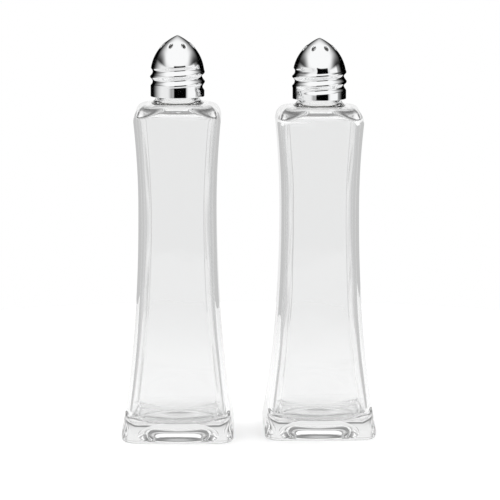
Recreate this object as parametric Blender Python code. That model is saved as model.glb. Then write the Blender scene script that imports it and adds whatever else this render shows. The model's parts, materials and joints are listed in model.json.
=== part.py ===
"""A salt shaker and a pepper shaker: two tall flared square glass bottles with stamped metal screw caps.

Each shaker has three pieces: the glass bottle with a thread bead moulded on its neck, a sealing ring
that lies on the bottle's lip, and a one-piece metal cap whose rolled thread screws onto the bead.
Units are metres, +Z is up, and the origin is on the table, at the middle of the pair.
"""

import math

import bmesh
import bpy
import numpy as np

# ---------------------------------------------------------------- bottle, outside
BODY_HEIGHT = 0.1373          # table to the flat top of the shoulders
PEPPER_BODY_HEIGHT = 0.1357   # the second bottle was drawn a little shorter
FOOT_HALF = 0.0228            # half the width at the foot
WAIST_HALF = 0.0159           # half the width at the waist
SHOULDER_HALF = 0.0177        # half the width at the shoulders
WAIST_DROP = 0.0423           # shoulder top down to the waist
SHOULDER_DROP = 0.0063        # height of the shoulders' rounding
SHOULDER_ROUND = 0.0047       # how far the rounding reaches inwards
CORNER = 0.0050               # radius of the body's vertical corners
FLARE_POWER = 2.15            # how the sides sweep out towards the foot
HEEL_HEIGHT = 0.0040          # where the sweep ends and the heel starts
HEEL_ROUND = 0.0018           # rounding between the side and the rim
PUNT_RADIUS = 0.0167          # round hollow under the base, inside a flat rim
PUNT_DEPTH = 0.0030
PUNT_POWER = 5.0              # flat in the middle and steep at the rim
SHOULDER_SHARE = 0.97         # how much of the rounding lies under the collar's edge
COLLAR_SHARE = 0.80           # corner radius at the top of the shoulders, as a share of the collar's

# ---------------------------------------------------------------- bottle, inside
WALL_TOP = 0.0022             # glass at the shoulders
WALL_FOOT = 0.0026            # glass at the foot
INNER_CORNER = 0.0036         # radius of the cavity's vertical corners
CAVITY_DROP = 0.0050          # shoulder top down to where the cavity's walls begin
ROOF_POWER = 1.5              # how the cavity's roof falls away from the bore
FLOOR_EDGE = 0.0070           # height of the inner floor at its edge
FLOOR_ROUND = 0.0040          # height of the rounding between wall and floor
CROWN_RADIUS = 0.0150         # round middle part of the inner floor
CROWN_HEIGHT = 0.0015         # how much the inner floor rises to its middle

# ---------------------------------------------------------------- neck and thread
NECK_RADIUS = 0.0090          # plain glass between the thread turns
NECK_WALL = 0.0026
NECK_LENGTH = 0.0161          # shoulder top to the lip
COLLAR_FLARE = 0.0037         # sweep from the neck into the shoulder
COLLAR_HEIGHT = 0.0030
LIP_ROUND = 0.0006
PITCH = 0.0040                # one turn of the cap lifts it by this much
BEAD_HEIGHT = 0.00135         # glass bead, out from the neck
BEAD_TOP_DROP = 0.0026        # lip down to the top end of the bead
BEAD_FOOT_RISE = 0.0049       # cap's lower edge up to the bottom end of the bead
THREAD_OVERLAP = 0.00055      # how far the cap's rib reaches behind the bead
CLEARANCE = 0.0003            # air between pieces that fit together

# ---------------------------------------------------------------- cap
SHEET = 0.00045               # thickness of the metal
SKIRT_GAP = 0.0030            # shoulder top to the cap's lower edge
SKIRT_PLAIN = 0.0034          # cap's lower edge up to the first turn of the thread
DOME_ABOVE_LIP = 0.0119       # lip to the point of the dome
OGIVE_HEIGHT = 0.0159         # from where the dome starts to curve to its point
RIB_TOP_GAP = 0.0012          # sealing ring down to the last turn of the thread
HOLE_COUNT = 7
HOLE_RADIUS = 0.00088
HOLE_RING_DROP = 0.0040       # point of the dome down to the ring of holes

# ---------------------------------------------------------------- sealing ring
RING_THICKNESS = 0.0008
RING_INSET = 0.0002           # ring's hole is this much larger than the bore

# ---------------------------------------------------------------- how the pair stands
GAP_BETWEEN = 0.0124          # air between the two feet
PEPPER_SETBACK = 0.0060       # the pepper shaker stands a little further back
PEPPER_YAW = math.radians(1.5)
SALT_THREAD_START = math.radians(300.0)
PEPPER_THREAD_START = math.radians(200.0)
FRONT = math.radians(270.0)   # two holes stand evenly to the left and right of this direction

# ---------------------------------------------------------------- thread form, in shares of the pitch
RIB_ROOT_SHARE = 0.30
RIB_CREST_SHARE = 0.125
BEAD_ROOT_SHARE = 0.275
BEAD_CREST_SHARE = 0.11
RUN_OUT = math.radians(80.0)  # angle over which a thread's end fades into the wall

# ---------------------------------------------------------------- fineness of the meshes
RING_POINTS = 32
THREAD_STEPS = 28             # per turn
BODY_RINGS = 9
CAVITY_RINGS = 7
DOME_RINGS = 7
HOLE_SIDES = 12
PUNT_SHARES = (0.4, 0.7, 0.88, 0.96, 1.0)
HEEL_TURNS = (0.35, 0.7, 1.0)
SHOULDER_TURNS = (0.3, 0.55, 0.8, 1.0)
COLLAR_TURNS = (0.12, 0.4, 0.7, 1.0)
ROOF_TURNS = (0.2, 0.4, 0.6, 0.8)
FLOOR_TURNS = (0.4, 0.75, 1.0)
CROWN_SHARES = (0.7, 0.35)
CORNER_CROWDING = 0.235       # moves a ring's points towards the body's corners

# ---------------------------------------------------------------- worked out from the above
BEAD_CREST = NECK_RADIUS + BEAD_HEIGHT
CAP_INNER = BEAD_CREST + CLEARANCE
CAP_OUTER = CAP_INNER + SHEET
RIB_CREST = BEAD_CREST - THREAD_OVERLAP
BORE_RADIUS = NECK_RADIUS - NECK_WALL
COLLAR_RADIUS = min(NECK_RADIUS + COLLAR_FLARE, SHOULDER_HALF - SHOULDER_ROUND)
CAP_HEIGHT = NECK_LENGTH - SKIRT_GAP + DOME_ABOVE_LIP
RING_BOTTOM = NECK_LENGTH - SKIRT_GAP + CLEARANCE      # above the cap's lower edge
RING_TOP = RING_BOTTOM + RING_THICKNESS
RIB_TURNS = (RING_BOTTOM - RIB_TOP_GAP - SKIRT_PLAIN) / PITCH
BEAD_TURNS = (NECK_LENGTH - SKIRT_GAP - BEAD_TOP_DROP - BEAD_FOOT_RISE) / PITCH
PIN_REACH = HOLE_RADIUS * 3                            # up and down from the dome's face
OGIVE_ARC = (CAP_OUTER ** 2 + OGIVE_HEIGHT ** 2) / (2 * CAP_OUTER)


def clear_scene():
    for old in list(bpy.data.objects):
        bpy.data.objects.remove(old, do_unlink=True)


def make_material(name, colour, roughness, metallic, transmission=0.0):
    material = bpy.data.materials.new(name)
    material.use_nodes = True
    shader = material.node_tree.nodes["Principled BSDF"]
    shader.inputs["Base Color"].default_value = (*colour, 1.0)
    shader.inputs["Roughness"].default_value = roughness
    shader.inputs["Metallic"].default_value = metallic
    shader.inputs["Transmission Weight"].default_value = transmission
    return material


def section_ring(half, corner, height):
    """One level ring of a square with rounded corners, from rays out of the axis.

    A ray meets either the flat side or the corner's arc. A corner radius equal to the half width
    gives a circle, so the same ring serves the body, the neck and the cap.
    """
    corner = min(corner, half)
    phase = np.arange(RING_POINTS) * math.tau / RING_POINTS
    angle = phase + CORNER_CROWDING * (1.0 - corner / half) * np.sin(4.0 * phase)
    octant = np.abs((angle + math.pi / 4) % (math.pi / 2) - math.pi / 4)
    centre = half - corner
    along = centre * (np.cos(octant) + np.sin(octant))
    arc_reach = along + np.sqrt(np.maximum(along ** 2 - 2 * centre ** 2 + corner ** 2, 0.0))
    flat_reach = half / np.cos(octant)
    reach = np.where(half * np.tan(octant) <= centre, flat_reach, arc_reach)
    return np.stack([reach * np.cos(angle), reach * np.sin(angle), np.full(RING_POINTS, height)], axis=1)


def loft(name, start_height, rings, end_height):
    """A closed skin over rings in order, with a point on the axis at each end."""
    points = np.concatenate([section_ring(*ring) for ring in rings])
    points = np.vstack([points, [0.0, 0.0, start_height], [0.0, 0.0, end_height]])
    start_pole = len(points) - 2
    end_pole = len(points) - 1
    last = (len(rings) - 1) * RING_POINTS
    faces = []
    for j in range(RING_POINTS):
        k = (j + 1) % RING_POINTS
        faces.append((start_pole, k, j))
        faces.append((end_pole, last + j, last + k))
        for i in range(len(rings) - 1):
            low = i * RING_POINTS
            high = low + RING_POINTS
            faces.append((low + j, low + k, high + k, high + j))
    mesh = bpy.data.meshes.new(name)
    mesh.from_pydata(points.tolist(), [], faces)
    return mesh


def thread_bar(name, profile, start_angle, start_height, turns):
    """A bar wound along a helix. profile(fade) gives its section as (radius, rise) pairs, fade 0 to 1."""
    steps = max(8, round(THREAD_STEPS * turns))
    sweep = turns * math.tau
    sections = []
    for i in range(steps + 1):
        swept = sweep * i / steps
        fade = min(1.0, swept / RUN_OUT, (sweep - swept) / RUN_OUT)
        fade = fade * fade * (3.0 - 2.0 * fade)
        angle = start_angle + swept
        height = start_height + PITCH * swept / math.tau
        sections.append([(r * math.cos(angle), r * math.sin(angle), height + rise)
                         for r, rise in profile(fade)])
    bm = bmesh.new()
    loops = [[bm.verts.new(point) for point in section] for section in sections]
    count = len(loops[0])
    for low, high in zip(loops, loops[1:]):
        for j in range(count):
            k = (j + 1) % count
            bm.faces.new((low[j], low[k], high[k], high[j]))
    bm.faces.new(loops[0])
    bm.faces.new(list(reversed(loops[-1])))
    bmesh.ops.recalc_face_normals(bm, faces=bm.faces)
    mesh = bpy.data.meshes.new(name)
    bm.to_mesh(mesh)
    bm.free()
    return mesh


def trapezoid(root, crest, root_half, crest_half):
    """The four corners of a thread's section, from its root to its crest."""
    return [(root, -root_half), (crest, -crest_half), (crest, crest_half), (root, root_half)]


def bead_profile(fade):
    """The glass bead: it grows out of the neck, with its root sunk in the glass."""
    root = NECK_RADIUS - CLEARANCE
    crest = NECK_RADIUS - CLEARANCE / 2 + (BEAD_HEIGHT + CLEARANCE / 2) * fade
    return trapezoid(root, crest, PITCH * BEAD_ROOT_SHARE, PITCH * BEAD_CREST_SHARE)


def rib_profile(fade):
    """The inside of the cap's rolled thread: it grows inwards, with its root sunk in the sheet."""
    root = CAP_INNER + SHEET / 2
    crest = CAP_INNER + SHEET / 4 - (CAP_INNER + SHEET / 4 - RIB_CREST) * fade
    return trapezoid(root, crest, PITCH * RIB_ROOT_SHARE, PITCH * RIB_CREST_SHARE)


def groove_profile(fade):
    """The outside of the rolled thread: the same shape, one sheet further out and a little narrower."""
    root = CAP_OUTER + SHEET
    crest = CAP_OUTER + SHEET / 2 - (CAP_OUTER - SHEET / 2 - RIB_CREST) * fade
    return trapezoid(root, crest, PITCH * RIB_ROOT_SHARE, PITCH * RIB_CREST_SHARE / 2)


def outer_half(height, body_height):
    """Half the body's width: a square-law spread above the waist and a slower sweep below it."""
    waist = body_height - WAIST_DROP
    if height >= waist:
        share = (height - waist) / (body_height - SHOULDER_DROP - waist)
        return WAIST_HALF + (SHOULDER_HALF - WAIST_HALF) * share ** 2
    share = (waist - height) / (waist - HEEL_HEIGHT)
    return WAIST_HALF + (FOOT_HALF - WAIST_HALF) * share ** FLARE_POWER


def wall_at(height, body_height):
    """The glass grows thicker from the shoulders down to the foot."""
    return WALL_FOOT + (WALL_TOP - WALL_FOOT) * height / body_height


def punt_rings():
    """The round hollow under the base, from its middle out to the rim."""
    radii = [PUNT_RADIUS * share for share in PUNT_SHARES]
    return [(r, r, PUNT_DEPTH * (1.0 - (r / PUNT_RADIUS) ** PUNT_POWER)) for r in radii]


def heel_rings():
    """The flat rim and the rounded heel around it."""
    rings = [(FOOT_HALF - HEEL_ROUND, CORNER, 0.0)]
    for turn in HEEL_TURNS:
        angle = turn * math.pi / 2
        half = FOOT_HALF - HEEL_ROUND * (1.0 - math.sin(angle))
        rings.append((half, CORNER, HEEL_ROUND * (1.0 - math.cos(angle))))
    return rings


def body_rings(body_height):
    """The flared sides, from the heel to where the shoulders start to round."""
    heights = np.linspace(HEEL_HEIGHT, body_height - SHOULDER_DROP, BODY_RINGS)
    return [(outer_half(z, body_height), CORNER, z) for z in heights]


def shoulder_rings(body_height):
    """The shoulders roll over while the square turns into the round of the collar."""
    rings = []
    for turn in SHOULDER_TURNS:
        angle = turn * math.pi / 2
        half = SHOULDER_HALF - SHOULDER_ROUND * (1.0 - math.cos(angle)) * SHOULDER_SHARE
        corner = CORNER + (COLLAR_RADIUS * COLLAR_SHARE - CORNER) * turn ** 2
        rings.append((half, corner, body_height - SHOULDER_DROP * (1.0 - math.sin(angle))))
    return rings


def neck_rings(body_height):
    """The collar sweeps up into the neck, and the lip is rounded outside and inside."""
    flare = COLLAR_RADIUS - NECK_RADIUS
    lip = body_height + NECK_LENGTH
    rings = []
    for turn in COLLAR_TURNS:
        angle = turn * math.pi / 2
        radius = COLLAR_RADIUS - flare * math.sin(angle)
        rings.append((radius, radius, body_height + COLLAR_HEIGHT * (1.0 - math.cos(angle))))
    rings.append((NECK_RADIUS, NECK_RADIUS, lip - LIP_ROUND))
    rings.append((NECK_RADIUS - LIP_ROUND, NECK_RADIUS - LIP_ROUND, lip))
    rings.append((BORE_RADIUS + LIP_ROUND, BORE_RADIUS + LIP_ROUND, lip))
    rings.append((BORE_RADIUS, BORE_RADIUS, lip - LIP_ROUND))
    return rings


def cavity_rings(body_height):
    """The bore opens into the cavity, which follows the outside at the wall's thickness."""
    side_top = body_height - CAVITY_DROP
    wide = outer_half(side_top, body_height) - wall_at(side_top, body_height)
    rings = [(BORE_RADIUS, BORE_RADIUS, body_height)]
    for turn in ROOF_TURNS:
        spread = math.sin(turn * math.pi / 2)
        half = BORE_RADIUS + (wide - BORE_RADIUS) * spread
        corner = half + (min(INNER_CORNER, half) - half) * turn * turn * (3.0 - 2.0 * turn)
        rings.append((half, corner, side_top + CAVITY_DROP * (1.0 - spread ** ROOF_POWER)))
    for z in np.linspace(side_top, FLOOR_EDGE + FLOOR_ROUND, CAVITY_RINGS):
        rings.append((outer_half(z, body_height) - wall_at(z, body_height), INNER_CORNER, z))
    return rings


def floor_rings(body_height):
    """The cavity's walls round into a floor whose middle is round and crowned."""
    start = FLOOR_EDGE + FLOOR_ROUND
    wide = outer_half(start, body_height) - wall_at(start, body_height)
    rings = []
    for turn in FLOOR_TURNS:
        angle = turn * math.pi / 2
        half = wide - (wide - CROWN_RADIUS) * (1.0 - math.cos(angle))
        corner = INNER_CORNER + (CROWN_RADIUS - INNER_CORNER) * turn * turn * (3.0 - 2.0 * turn)
        rings.append((half, corner, start - FLOOR_ROUND * math.sin(angle)))
    for share in CROWN_SHARES:
        radius = CROWN_RADIUS * share
        rings.append((radius, radius, FLOOR_EDGE + CROWN_HEIGHT * (1.0 - share ** 2)))
    return rings


def bottle_mesh(name, body_height):
    rings = punt_rings() + heel_rings() + body_rings(body_height) + shoulder_rings(body_height)
    rings += neck_rings(body_height) + cavity_rings(body_height) + floor_rings(body_height)
    return loft(name, PUNT_DEPTH, rings, FLOOR_EDGE + CROWN_HEIGHT)


def dome_radius(height, inset=0.0):
    """Radius of the cap's pointed dome at a height above its lower edge, inset by a thickness.

    The outline is a circular arc that leaves the skirt upright and meets the axis in a point.
    """
    rise = max(0.0, height - (CAP_HEIGHT - OGIVE_HEIGHT))
    return math.sqrt(max((OGIVE_ARC - inset) ** 2 - rise ** 2, 0.0)) - (OGIVE_ARC - CAP_OUTER)


def dome_point(inset):
    """Height of the dome's point when its outline is inset by a thickness."""
    reach = (OGIVE_ARC - inset) ** 2 - (OGIVE_ARC - CAP_OUTER) ** 2
    return CAP_HEIGHT - OGIVE_HEIGHT + math.sqrt(reach)


def cap_mesh(name):
    """The cap's plain shell, as one skin: down the inside, round the edge and up the outside."""
    start = CAP_HEIGHT - OGIVE_HEIGHT
    shares = np.sin(np.linspace(0.0, math.pi / 2, DOME_RINGS + 1))[1:-1]
    inner_point = dome_point(SHEET)
    outer_point = dome_point(0.0)
    rings = []
    for share in reversed(shares):
        z = start + (inner_point - start) * share
        radius = dome_radius(z, SHEET)
        rings.append((radius, radius, z))
    rings.append((CAP_INNER, CAP_INNER, start))
    rings.append((CAP_INNER, CAP_INNER, 0.0))
    rings.append((CAP_OUTER, CAP_OUTER, 0.0))
    rings.append((CAP_OUTER, CAP_OUTER, start))
    for share in shares:
        z = start + (outer_point - start) * share
        radius = dome_radius(z)
        rings.append((radius, radius, z))
    return loft(name, inner_point, rings, outer_point)


def hole_cutter_mesh(name):
    """Short upright pins, one for each hole: the holes are pierced along the cap's axis."""
    height = CAP_HEIGHT - HOLE_RING_DROP
    radius = dome_radius(height)
    bm = bmesh.new()
    for index in range(HOLE_COUNT):
        turn = FRONT + (index + 0.5) * math.tau / HOLE_COUNT
        ends = []
        for level in (height - PIN_REACH, height + PIN_REACH):
            loop = []
            for side in range(HOLE_SIDES):
                spin = turn + (side + 0.5) * math.tau / HOLE_SIDES
                x = radius * math.cos(turn) + HOLE_RADIUS * math.cos(spin)
                y = radius * math.sin(turn) + HOLE_RADIUS * math.sin(spin)
                loop.append(bm.verts.new((x, y, level)))
            ends.append(loop)
        for j in range(HOLE_SIDES):
            k = (j + 1) % HOLE_SIDES
            bm.faces.new((ends[0][j], ends[0][k], ends[1][k], ends[1][j]))
        bm.faces.new(ends[0])
        bm.faces.new(list(reversed(ends[1])))
    bmesh.ops.recalc_face_normals(bm, faces=bm.faces)
    mesh = bpy.data.meshes.new(name)
    bm.to_mesh(mesh)
    bm.free()
    return mesh


def ring_mesh(name):
    """The flat sealing ring. Its edge keeps the named clearance to the inside of the dome."""
    inner = BORE_RADIUS + RING_INSET
    outer = dome_radius(RING_TOP, SHEET) - CLEARANCE
    bm = bmesh.new()
    loops = []
    for radius, height in ((inner, 0.0), (outer, 0.0), (outer, RING_THICKNESS), (inner, RING_THICKNESS)):
        turns = np.arange(RING_POINTS) * math.tau / RING_POINTS
        loops.append([bm.verts.new((radius * math.cos(t), radius * math.sin(t), height)) for t in turns])
    for index in range(4):
        low = loops[index]
        high = loops[(index + 1) % 4]
        for j in range(RING_POINTS):
            k = (j + 1) % RING_POINTS
            bm.faces.new((low[j], low[k], high[k], high[j]))
    bmesh.ops.recalc_face_normals(bm, faces=bm.faces)
    mesh = bpy.data.meshes.new(name)
    bm.to_mesh(mesh)
    bm.free()
    return mesh


def add_object(name, mesh, parent, location, material=None):
    obj = bpy.data.objects.new(name, mesh)
    bpy.context.scene.collection.objects.link(obj)
    obj.parent = parent
    obj.location = location
    if material:
        mesh.materials.append(material)
        mesh.shade_smooth()
        mesh.set_sharp_from_angle(angle=math.radians(35.0))
    else:
        obj.hide_render = True
        obj.display_type = "WIRE"
    return obj


def add_empty(name, location, yaw=0.0, parent=None):
    empty = bpy.data.objects.new(name, None)
    bpy.context.scene.collection.objects.link(empty)
    empty.empty_display_size = 0.01
    empty.parent = parent
    empty.location = location
    empty.rotation_euler = (0.0, 0.0, yaw)
    return empty


def add_boolean(obj, tool, operation):
    modifier = obj.modifiers.new(f"{operation.lower()} {tool.name}", "BOOLEAN")
    modifier.operation = operation
    modifier.solver = "EXACT"
    modifier.object = tool


def make_shaker(which, place, yaw, body_height, thread_start, materials):
    """One shaker: bottle, sealing ring and cap on one axis, with the thread's two halves in step."""
    stand = add_empty(f"{which}_stand", place, yaw)
    bottle = add_object(f"{which}_bottle", bottle_mesh(f"{which}_bottle", body_height), stand,
                        (0.0, 0.0, 0.0), materials["glass"])
    cap_foot = body_height + SKIRT_GAP
    bead_lag = (BEAD_FOOT_RISE - SKIRT_PLAIN) / PITCH - 0.5
    bead = thread_bar(f"{which}_bead", bead_profile, thread_start + bead_lag * math.tau,
                      cap_foot + BEAD_FOOT_RISE, BEAD_TURNS)
    add_boolean(bottle, add_object(f"{which}_bead_guide", bead, stand, (0.0, 0.0, 0.0)), "UNION")

    axis = add_empty(f"{which}_cap_axis", (0.0, 0.0, cap_foot), 0.0, stand)
    add_object(f"{which}_sealing_ring", ring_mesh(f"{which}_sealing_ring"), axis,
               (0.0, 0.0, RING_BOTTOM), materials["seal"])
    cap = add_object(f"{which}_cap", cap_mesh(f"{which}_cap"), axis, (0.0, 0.0, 0.0), materials["metal"])
    rib = thread_bar(f"{which}_rib", rib_profile, thread_start, SKIRT_PLAIN, RIB_TURNS)
    add_boolean(cap, add_object(f"{which}_rib_guide", rib, axis, (0.0, 0.0, 0.0)), "UNION")
    groove = thread_bar(f"{which}_groove", groove_profile, thread_start, SKIRT_PLAIN, RIB_TURNS)
    add_boolean(cap, add_object(f"{which}_groove_cutter", groove, axis, (0.0, 0.0, 0.0)), "DIFFERENCE")
    holes = hole_cutter_mesh(f"{which}_holes")
    add_boolean(cap, add_object(f"{which}_hole_cutter", holes, axis, (0.0, 0.0, 0.0)), "DIFFERENCE")


def half_span(yaw):
    """Half the width of the foot along X or Y when the bottle is turned by yaw."""
    return (FOOT_HALF - CORNER) * (abs(math.cos(yaw)) + abs(math.sin(yaw))) + CORNER


def main():
    clear_scene()
    materials = {
        "glass": make_material("clear_glass", (0.95, 0.97, 0.96), 0.02, 0.0, 1.0),
        "metal": make_material("polished_metal", (0.83, 0.84, 0.85), 0.08, 1.0),
        "seal": make_material("white_seal", (0.86, 0.85, 0.82), 0.6, 0.0),
    }
    # The pair's bounding box is centred on the origin, whatever the second shaker's turn.
    spacing = 2 * FOOT_HALF + GAP_BETWEEN
    uneven = (half_span(PEPPER_YAW) - half_span(0.0)) / 2
    salt_place = (-spacing / 2 - uneven, -PEPPER_SETBACK / 2 - uneven, 0.0)
    pepper_place = (salt_place[0] + spacing, salt_place[1] + PEPPER_SETBACK, 0.0)
    make_shaker("salt", salt_place, 0.0, BODY_HEIGHT, SALT_THREAD_START, materials)
    make_shaker("pepper", pepper_place, PEPPER_YAW, PEPPER_BODY_HEIGHT, PEPPER_THREAD_START, materials)


main()
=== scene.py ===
# %% [markdown]
# # A salt shaker and a pepper shaker
# Each shaker is an empty glass bottle, square in section, that narrows to a waist and flares out to
# its foot, with a pressed metal top that screws onto a short glass neck. Three pieces make one shaker:
# the bottle, a thin sealing ring on the bottle's lip, and the top. The measured model is loaded first.
# It fixes where everything is and how it moves. This lesson only makes the fine surfaces around it.

# %% Load the measured model
import json
import math

import bpy
import numpy as np
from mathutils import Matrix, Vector


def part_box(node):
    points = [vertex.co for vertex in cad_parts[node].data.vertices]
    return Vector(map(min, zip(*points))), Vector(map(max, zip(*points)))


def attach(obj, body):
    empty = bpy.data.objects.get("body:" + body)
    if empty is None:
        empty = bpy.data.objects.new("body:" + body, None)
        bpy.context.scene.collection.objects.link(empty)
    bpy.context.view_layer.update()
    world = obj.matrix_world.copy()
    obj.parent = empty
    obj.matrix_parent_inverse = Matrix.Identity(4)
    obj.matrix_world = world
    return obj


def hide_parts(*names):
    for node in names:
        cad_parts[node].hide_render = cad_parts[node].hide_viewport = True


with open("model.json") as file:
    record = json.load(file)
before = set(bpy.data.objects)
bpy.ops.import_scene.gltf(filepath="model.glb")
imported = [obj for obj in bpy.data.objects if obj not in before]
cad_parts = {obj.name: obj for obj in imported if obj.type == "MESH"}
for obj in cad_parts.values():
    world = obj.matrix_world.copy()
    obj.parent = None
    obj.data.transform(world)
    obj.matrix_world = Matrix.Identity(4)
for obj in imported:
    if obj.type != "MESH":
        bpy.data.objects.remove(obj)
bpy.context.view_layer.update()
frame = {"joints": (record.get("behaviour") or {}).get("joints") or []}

MM = 0.001

# %% [markdown]
# ## Where each shaker stands
# A screw top turns about its bottle's axis, so the joint of the top gives the axis. The box of the
# bottle gives its height, and the box of the top gives its lower edge and its point. Only the turn
# of the second bottle about its own axis is given, because a box doesn't show it.

# %% Read the axes and the heights
PEPPER_YAW = math.radians(1.5)
SALT_THREAD_START = math.radians(300.0)
PEPPER_THREAD_START = math.radians(200.0)

turn_joints = {joint["name"]: joint for joint in frame["joints"] if joint["type"] == "hinge"}


def measure_shaker(which, yaw, thread_start):
    """Axis, turn and main heights of one shaker, from its joint and its boxes."""
    x, y, _ = turn_joints[f"{which}_cap_turn"]["pos_m"]
    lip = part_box(f"{which}_bottle")[1].z
    cap_foot, cap_point = (corner.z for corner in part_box(f"{which}_cap"))
    ring_foot, ring_top = (corner.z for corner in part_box(f"{which}_sealing_ring"))
    return {"name": which, "x": x, "y": y, "yaw": yaw, "thread_start": thread_start, "lip": lip,
            "cap_foot": cap_foot, "cap_point": cap_point, "ring_foot": ring_foot, "ring_top": ring_top}


shakers = [
    measure_shaker("salt", 0.0, SALT_THREAD_START),
    measure_shaker("pepper", PEPPER_YAW, PEPPER_THREAD_START),
]
for shaker in shakers:
    print(shaker["name"], "lip at", round(shaker["lip"] / MM, 1), "mm, point at",
          round(shaker["cap_point"] / MM, 1), "mm")

# %% [markdown]
# ## From a grid of points to a skin
# Every new surface here is a grid: rows follow a profile and columns go round. A grid can be worked
# out as one array, and its faces follow from the row and column numbers alone. A row that shrinks to
# one point at the end of a profile is closed with a fan of triangles round a single pole, so that no
# face has a side of no length. The same helper also gives each piece a UV map that wraps round it.

# %% Grid and mesh helpers
COLUMNS = 224


def grid_faces(rows, columns, first=0):
    """Corner numbers of the quads between neighbouring rows; the last column joins the first."""
    row, column = np.meshgrid(np.arange(rows - 1), np.arange(columns), indexing="ij")
    following = (column + 1) % columns
    corners = [row * columns + column, row * columns + following,
               (row + 1) * columns + following, (row + 1) * columns + column]
    return first + np.stack([corner.ravel() for corner in corners], axis=1)


def fan_faces(row_first, columns, pole, upward):
    """Corner numbers of the triangles between one row and a pole."""
    column = np.arange(columns)
    following = (column + 1) % columns
    near, far = (column, following) if upward else (following, column)
    return np.stack([row_first + near, row_first + far, np.full(columns, pole)], axis=1)


def make_piece(name, points, quads, triangles, wrap):
    """A smooth mesh object from corner arrays. wrap is a (share round, distance along) pair a point."""
    mesh = bpy.data.meshes.new(name)
    corners = np.concatenate([quads.ravel(), triangles.ravel()]).astype(np.int32)
    starts = np.concatenate([np.arange(len(quads)) * 4,
                             len(quads) * 4 + np.arange(len(triangles)) * 3]).astype(np.int32)
    mesh.vertices.add(len(points))
    mesh.vertices.foreach_set("co", points.astype(np.float32).ravel())
    mesh.loops.add(len(corners))
    mesh.loops.foreach_set("vertex_index", corners)
    mesh.polygons.add(len(starts))
    mesh.polygons.foreach_set("loop_start", starts)
    mesh.update(calc_edges=True)
    mesh.shade_smooth()
    add_wrap(mesh, corners, len(quads), wrap)
    if mesh.validate():
        print("warning: the mesh of", name, "had to be mended")
    piece = bpy.data.objects.new(name, mesh)
    bpy.context.scene.collection.objects.link(piece)
    print(f"{name}: {len(points)} points, {len(quads) * 2 + len(triangles)} triangles")
    return piece


def add_wrap(mesh, corners, quad_count, wrap):
    """UV map: u is the share of a full turn and v the distance along the profile.

    A face on the seam has corners near 0 and near 1; those near 0 are moved up by a full turn.
    """
    u = wrap[corners, 0].copy()
    for block in (slice(0, quad_count * 4), slice(quad_count * 4, None)):
        side = 4 if block.start == 0 else 3
        face_u = u[block].reshape(-1, side)
        face_u[(face_u.max(axis=1, keepdims=True) - face_u) > 0.5] += 1.0
        u[block] = face_u.ravel()
    layer = mesh.uv_layers.new(name="wrap")
    layer.data.foreach_set("uv", np.stack([u, wrap[corners, 1]], axis=1).astype(np.float32).ravel())


def turned(points, angle):
    """The points turned about the Z axis."""
    x = points[..., 0] * math.cos(angle) - points[..., 1] * math.sin(angle)
    y = points[..., 0] * math.sin(angle) + points[..., 1] * math.cos(angle)
    return np.stack([x, y, points[..., 2]], axis=-1)


def smooth_step(value):
    """0 below 0, 1 above 1, and 3t^2 - 2t^3 between them."""
    t = np.clip(value, 0.0, 1.0)
    return t * t * (3.0 - 2.0 * t)


def profile_lengths(rows):
    """Distance along the profile at each row, from the first column's points."""
    steps = np.linalg.norm(np.diff(rows[:, 0], axis=0), axis=1)
    return np.concatenate([[0.0], np.cumsum(steps)])


# %% [markdown]
# ## The bottle's section
# A level cut through the bottle is a square with rounded corners, and it becomes a circle at the
# neck. Both are one shape: a square whose corner radius has grown to half its width. A ray from the
# axis meets either the flat side or a corner's arc, which gives the distance in closed form. The rays
# crowd towards the corners, where the surface turns quickly and needs more points.

# %% Rounded square
CORNER_CROWDING = 0.235


def section(half, corner, height):
    """Rows of a rounded square, one row for each entry of half, corner and height.

    Reach of a ray at angle a from a side's middle: half / cos(a) on the flat, and on the arc the
    larger root of |reach - centre of the arc| = corner.
    """
    corner = np.minimum(corner, half)[:, None]
    half = np.asarray(half)[:, None]
    phase = np.arange(COLUMNS)[None, :] * math.tau / COLUMNS
    angle = phase + CORNER_CROWDING * (1.0 - corner / half) * np.sin(4.0 * phase)
    octant = np.abs((angle + math.pi / 4) % (math.pi / 2) - math.pi / 4)
    centre = half - corner
    along = centre * (np.cos(octant) + np.sin(octant))
    arc_reach = along + np.sqrt(np.maximum(along ** 2 - 2 * centre ** 2 + corner ** 2, 0.0))
    reach = np.where(half * np.tan(octant) <= centre, half / np.cos(octant), arc_reach)
    level = np.broadcast_to(np.asarray(height)[:, None], reach.shape)
    return np.stack([reach * np.cos(angle), reach * np.sin(angle), level], axis=-1)


# %% [markdown]
# ## The bottle's outside
# The bottle is blown in a mould, so its outside is crisp where the mould is: a flat rim to stand on
# round a shallow round hollow, a rounded heel, four sides that sweep in to the waist and out to the
# shoulders, and shoulders that roll over while the square turns into the round collar. A profile is
# three arrays: half the width, the corner's radius and the height. One profile is made per stretch
# and they are stacked, so each stretch has its own simple formula.

# %% Outside stretches
FOOT_HALF = 22.8 * MM
WAIST_HALF = 15.9 * MM
SHOULDER_HALF = 17.7 * MM
WAIST_DROP = 42.3 * MM
SHOULDER_DROP = 6.3 * MM
SHOULDER_ROUND = 4.7 * MM
SHOULDER_SHARE = 0.97
CORNER = 5.0 * MM
FLARE_POWER = 2.15
HEEL_HEIGHT = 4.0 * MM
HEEL_ROUND = 1.8 * MM
PUNT_RADIUS = 16.7 * MM
PUNT_DEPTH = 3.0 * MM
PUNT_POWER = 5.0
NECK_RADIUS = 9.0 * MM
NECK_LENGTH = 16.1 * MM
COLLAR_RADIUS = 12.7 * MM
COLLAR_HEIGHT = 3.0 * MM
COLLAR_SHARE = 0.80
LIP_ROUND = 0.6 * MM


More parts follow.
